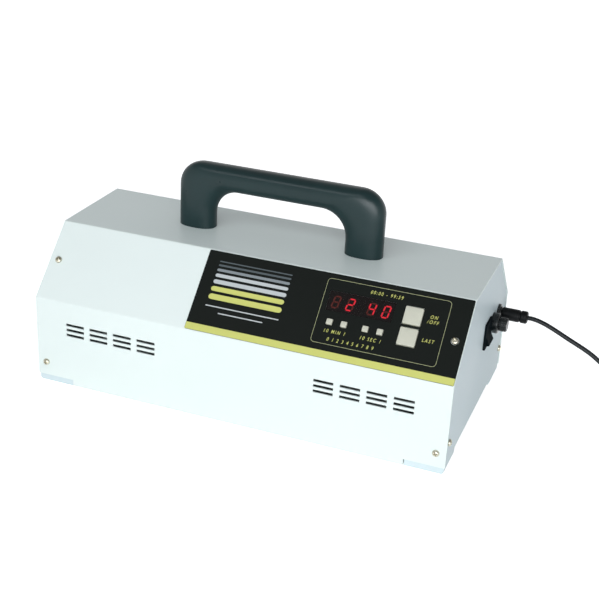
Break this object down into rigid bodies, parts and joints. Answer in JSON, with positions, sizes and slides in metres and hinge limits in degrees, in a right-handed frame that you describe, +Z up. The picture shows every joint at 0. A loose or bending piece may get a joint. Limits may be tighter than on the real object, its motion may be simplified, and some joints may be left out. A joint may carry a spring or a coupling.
{
  "type": "screen printing exposure unit",
  "caption": "Benchtop ultraviolet light box with a window in its underside, sloped timer panel with displays and keys, rocker switch, fuse, carry handle and coiled supply cord",
  "frame": {"origin": "on the table, below the middle of the whole object without its cord", "axes": "+Z up, +X along the housing towards the end with the switch, fuse and jack, -Y towards the sloped control panel"},
  "size_m": [0.539, 0.1928, 0.1803],
  "materials": {
    "cover_paint": "fine satin powder coat, cool white",
    "end_paint": "fine satin powder coat, pale grey-white",
    "frame_paint": "satin powder coat",
    "nickel_screws": "bright nickel plate",
    "zinc_screws": "blue zinc plate",
    "handle_plastic": "moulded, fine satin texture",
    "brass": "plain turned or stamped brass",
    "seal_rubber": "matte",
    "clear_glass": "clear float glass",
    "bright_sheet": "bright rolled reflector sheet",
    "bracket_steel": "zinc-plated sheet",
    "holder_plastic": "ivory moulded",
    "lamp_glass": "phosphor-coated tube, pale violet white",
    "cap_metal": "satin lamp cap",
    "board_green": "green solder mask",
    "winding": "varnished winding tape and ferrite",
    "can_sleeve": "shrink sleeve, dark blue",
    "chip_resin": "moulded epoxy",
    "display_case": "dark moulded display case",
    "lit_segment": "glowing red bars",
    "dark_segment": "unlit dark red bars",
    "filter_red": "dark red filter window",
    "overlay_print": "black printed film with a yellow strip and frame",
    "key_cream": "cream moulded caps",
    "switch_black": "black moulded",
    "rocker_black": "black moulded, smoother",
    "fuse_metal": "nickel ends on a glass tube",
    "wire_sleeve": "red wire sleeve",
    "plug_plastic": "black moulded plug",
    "cord_jacket": "soft black jacket",
    "adapter_plastic": "black moulded case, fine texture"
  },
  "bodies": {
    "housing": {"cover": "cover_paint", "end_panel_left": "end_paint", "end_panel_right": "end_paint", "cover_screws": "nickel_screws", "end_screws": "nickel_screws", "handle": "handle_plastic", "handle_inserts": "brass", "handle_screws": "zinc_screws", "window_frame": "frame_paint", "window_gasket": "seal_rubber", "window_glass": "clear_glass", "glass_clips": "zinc_screws", "reflector": "bright_sheet", "socket_bracket_left": "bracket_steel", "socket_bracket_right": "bracket_steel", "sockets_left": "holder_plastic", "sockets_right": "holder_plastic", "lamp_1": "lamp_glass", "lamp_2": "lamp_glass", "lamp_3": "lamp_glass", "lamp_4": "lamp_glass", "lamp_caps": "cap_metal", "lamp_pins": "brass", "ballast_board": "board_green", "transformers": "winding", "capacitors": "can_sleeve", "heat_sink": "bright_sheet", "chips": "chip_resin", "headers": "holder_plastic", "spacers": "brass", "inner_screws": "zinc_screws", "timer_board": "board_green", "display_minutes": "display_case", "display_seconds": "display_case", "lit_bars": "lit_segment", "dark_bars": "dark_segment", "display_filter": "filter_red", "control_overlay": "overlay_print", "tact_switches": "chip_resin", "buzzer": "chip_resin", "switch_housing": "switch_black", "solder_tags": "brass", "fuse_holder": "switch_black", "fuse": "fuse_metal", "dc_jack": "switch_black", "panel_nuts": "zinc_screws", "wiring": "wire_sleeve"},
    "power_rocker": {"rocker": "rocker_black"},
    "minute_tens_key": {"minute_tens_button": "key_cream"},
    "minute_units_key": {"minute_units_button": "key_cream"},
    "second_tens_key": {"second_tens_button": "key_cream"},
    "second_units_key": {"second_units_button": "key_cream"},
    "start_key": {"start_button": "key_cream"},
    "recall_key": {"recall_button": "key_cream"},
    "fuse_carrier": {"fuse_cap": "rocker_black"},
    "supply": {"dc_plug": "plug_plastic", "supply_cord": "cord_jacket", "cord_coil": "cord_jacket", "adapter": "adapter_plastic", "adapter_blades": "brass"}
  },
  "joints": [
    {"name": "power_rocker_tilt", "type": "hinge", "parent": "housing", "child": "power_rocker", "pos_m": [0.166, 0.0178, 0.0694], "axis": [0, 1, 0], "range_deg": [0, 24]},
    {"name": "minute_tens_press", "type": "slide", "parent": "housing", "child": "minute_tens_key", "axis": [0, 0.7121, -0.7021], "range_m": [0, 0.0008], "stiffness_N_per_m": 800, "springref_m": -0.0005},
    {"name": "minute_units_press", "type": "slide", "parent": "housing", "child": "minute_units_key", "axis": [0, 0.7121, -0.7021], "range_m": [0, 0.0008], "stiffness_N_per_m": 800, "springref_m": -0.0005},
    {"name": "second_tens_press", "type": "slide", "parent": "housing", "child": "second_tens_key", "axis": [0, 0.7121, -0.7021], "range_m": [0, 0.0008], "stiffness_N_per_m": 800, "springref_m": -0.0005},
    {"name": "second_units_press", "type": "slide", "parent": "housing", "child": "second_units_key", "axis": [0, 0.7121, -0.7021], "range_m": [0, 0.0008], "stiffness_N_per_m": 800, "springref_m": -0.0005},
    {"name": "start_press", "type": "slide", "parent": "housing", "child": "start_key", "axis": [0, 0.7121, -0.7021], "range_m": [0, 0.0008], "stiffness_N_per_m": 800, "springref_m": -0.0005},
    {"name": "recall_press", "type": "slide", "parent": "housing", "child": "recall_key", "axis": [0, 0.7121, -0.7021], "range_m": [0, 0.0008], "stiffness_N_per_m": 800, "springref_m": -0.0005},
    {"name": "fuse_carrier_turn", "type": "hinge", "parent": "housing", "child": "fuse_carrier", "pos_m": [0.1713, 0.0385, 0.0702], "axis": [1, 0, 0], "range_deg": [0, 90]},
    {"name": "plug_pull", "type": "slide", "parent": "housing", "child": "supply", "axis": [1, 0, 0], "range_m": [0, 0.012]}
  ]
}
